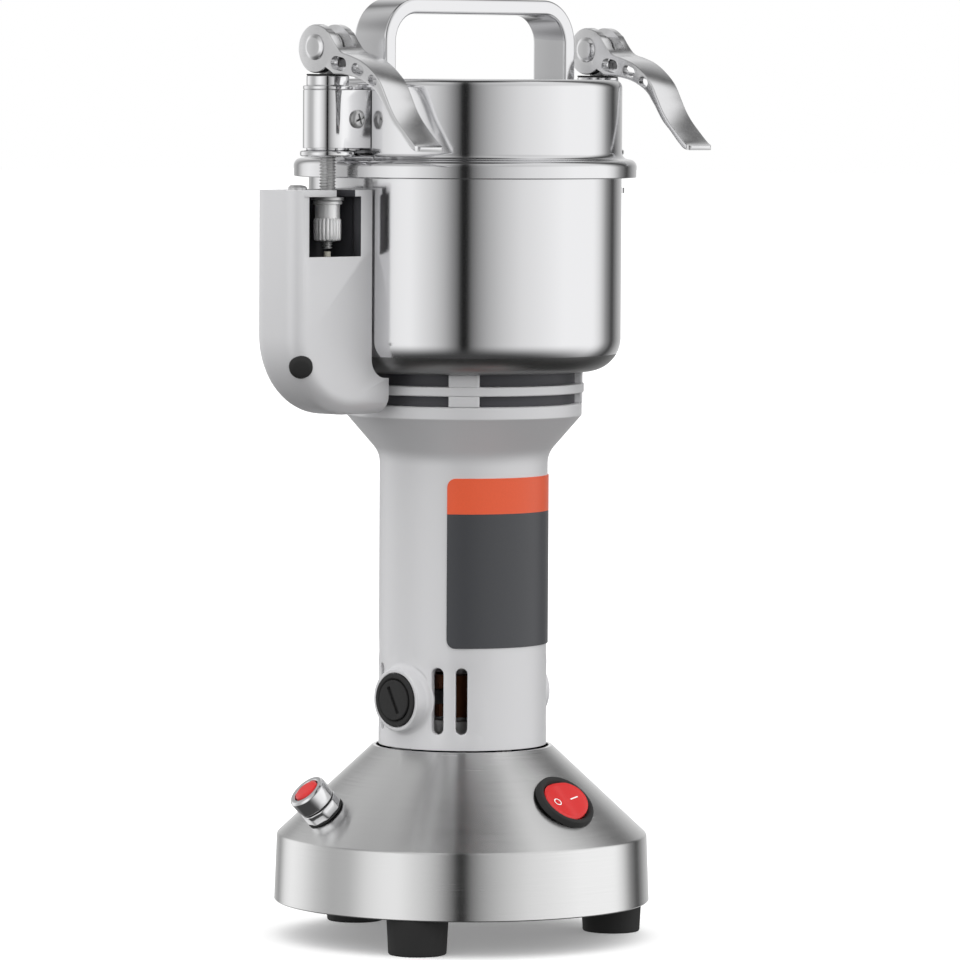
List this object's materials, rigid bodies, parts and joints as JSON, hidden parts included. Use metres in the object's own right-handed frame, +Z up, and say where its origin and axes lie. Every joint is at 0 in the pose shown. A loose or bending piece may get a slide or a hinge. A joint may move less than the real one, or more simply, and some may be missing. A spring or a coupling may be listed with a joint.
{
  "type": "electric grain mill",
  "caption": "Upright electric grain mill: round steel base, motor column, steel grinding chamber and a handled lid held by cam latches.",
  "frame": {"origin": "on the spindle axis at floor level, in the middle of the circle of foot recesses", "axes": "+Z up the spindle, -X towards the latch box with the safety switch, -Y towards the rocker switch"},
  "size_m": [0.1705, 0.1398, 0.3365],
  "materials": {
    "brushed_steel": "brushed in circles",
    "polished_steel": "polished stainless steel",
    "satin_steel": "satin cast steel",
    "blade_steel": "ground",
    "screw_steel": "zinc plated",
    "chrome": "plated",
    "silver_paint": "fine silver paint",
    "cast_aluminium": "as machined",
    "laminations": "stacked sheet",
    "copper": "enamelled copper",
    "carbon": "pressed carbon",
    "dark_sheet": "black sheet",
    "black_rubber": "matte",
    "gasket": "silicone",
    "black_plastic": "fine grain",
    "pale_plastic": "smooth",
    "red_plastic": "glossy",
    "label": "satin film, orange band at the top"
  },
  "bodies": {
    "housing": {"base_shell": "brushed_steel", "base_plate": "dark_sheet", "rubber_feet": "black_rubber", "foot_screws": "screw_steel", "cord_gland": "black_plastic", "rocker_bezel": "black_plastic", "breaker_body": "black_plastic", "breaker_nut": "chrome", "mount_screws": "screw_steel", "motor_column": "silver_paint", "label_plate": "label", "brush_caps": "black_plastic", "brush_holders": "black_plastic", "carbon_brushes": "carbon", "brush_springs": "screw_steel", "stator_core": "laminations", "stator_windings": "copper", "bearing_plate": "cast_aluminium", "bearing_outer_rings": "screw_steel", "bearing_balls": "chrome", "vent_ring": "cast_aluminium", "chamber_screws": "screw_steel", "grinding_chamber": "polished_steel", "shaft_seal": "black_rubber", "latch_box": "silver_paint", "latch_box_screws": "screw_steel", "latch_box_plug": "black_plastic", "switch_body": "black_plastic", "right_lug": "polished_steel"},
    "rotor": {"motor_shaft": "screw_steel", "armature_core": "laminations", "armature_windings": "copper", "commutator": "copper", "cooling_fan": "black_plastic", "bearing_inner_rings": "screw_steel", "mill_blades": "blade_steel", "blade_spacers": "screw_steel", "blade_nut": "screw_steel"},
    "rocker": {"rocker_button": "red_plastic"},
    "reset": {"reset_button": "red_plastic"},
    "plunger": {"switch_plunger": "pale_plastic"},
    "lid": {"lid_shell": "polished_steel", "lid_gasket": "gasket", "handle": "polished_steel", "handle_screws": "screw_steel", "latch_straps": "polished_steel", "latch_sleeves": "chrome", "latch_screws": "screw_steel"},
    "left_seat": {"left_cam_seat": "black_plastic"},
    "left_pull_rod": {"left_rod": "screw_steel", "left_cam_pin": "chrome"},
    "left_cam_lever": {"left_lever": "satin_steel"},
    "left_nut_washer": {"left_washer": "screw_steel"},
    "left_adjuster": {"left_nut": "screw_steel"},
    "right_seat": {"right_cam_seat": "black_plastic"},
    "right_pull_rod": {"right_rod": "screw_steel", "right_cam_pin": "chrome"},
    "right_cam_lever": {"right_lever": "satin_steel"},
    "right_nut_washer": {"right_washer": "screw_steel"},
    "right_adjuster": {"right_nut": "screw_steel"}
  },
  "joints": [
    {"name": "spindle_spin", "type": "hinge", "parent": "housing", "child": "rotor", "pos_m": [0, 0, 0.2], "axis": [0, 0, 1], "continuous": true},
    {"name": "rocker_tilt", "type": "hinge", "parent": "housing", "child": "rocker", "pos_m": [0, -0.05155, 0.05208], "axis": [0, 0.7301, 0.6833], "range_deg": [0, 20]},
    {"name": "reset_press", "type": "slide", "parent": "housing", "child": "reset", "axis": [0.66, -0.1768, -0.7301], "range_m": [0, 0.0018], "stiffness_N_per_m": 600},
    {"name": "switch_press", "type": "slide", "parent": "housing", "child": "plunger", "axis": [0, 0, -1], "range_m": [0, 0.001], "stiffness_N_per_m": 500},
    {"name": "lid_turn", "type": "hinge", "parent": "housing", "child": "lid", "pos_m": [0, 0, 0.275], "axis": [0, 0, 1], "range_deg": [0, 18]},
    {"name": "left_swivel", "type": "hinge", "parent": "lid", "child": "left_seat", "pos_m": [-0.0683, 0, 0.31], "axis": [0, 0, 1], "range_deg": [-180, 0]},
    {"name": "left_pull", "type": "slide", "parent": "left_seat", "child": "left_pull_rod", "axis": [0, 0, 1], "range_m": [-0.0006, 0]},
    {"name": "left_lever_turn", "type": "hinge", "parent": "left_pull_rod", "child": "left_cam_lever", "pos_m": [-0.0683, 0, 0.3189], "axis": [-1, 0, 0], "range_deg": [0, 110]},
    {"name": "left_nut_travel", "type": "slide", "parent": "left_pull_rod", "child": "left_nut_washer", "axis": [0, 0, 1], "range_m": [-0.0011, 0]},
    {"name": "left_nut_turn", "type": "hinge", "parent": "left_nut_washer", "child": "left_adjuster", "pos_m": [-0.0683, 0, 0.258], "axis": [0, 0, 1], "range_deg": [0, 360]},
    {"name": "right_swivel", "type": "hinge", "parent": "lid", "child": "right_seat", "pos_m": [0.0683, 0, 0.31], "axis": [0, 0, 1], "range_deg": [0, 180]},
    {"name": "right_pull", "type": "slide", "parent": "right_seat", "child": "right_pull_rod", "axis": [0, 0, 1], "range_m": [-0.0006, 0]},
    {"name": "right_lever_turn", "type": "hinge", "parent": "right_pull_rod", "child": "right_cam_lever", "pos_m": [0.0683, 0, 0.3189], "axis": [-1, 0, 0], "range_deg": [0, 110]},
    {"name": "right_nut_travel", "type": "slide", "parent": "right_pull_rod", "child": "right_nut_washer", "axis": [0, 0, 1], "range_m": [-0.0011, 0]},
    {"name": "right_nut_turn", "type": "hinge", "parent": "right_nut_washer", "child": "right_adjuster", "pos_m": [0.0683, 0, 0.258], "axis": [0, 0, 1], "range_deg": [0, 360]}
  ],
  "couplings": [
    {"joint": "left_pull", "follows": "left_lever_turn", "m_per_rad": -0.0003},
    {"joint": "right_pull", "follows": "right_lever_turn", "m_per_rad": -0.0003},
    {"joint": "left_nut_travel", "follows": "left_nut_turn", "m_per_rad": -0.00015915},
    {"joint": "right_nut_travel", "follows": "right_nut_turn", "m_per_rad": -0.00015915}
  ]
}
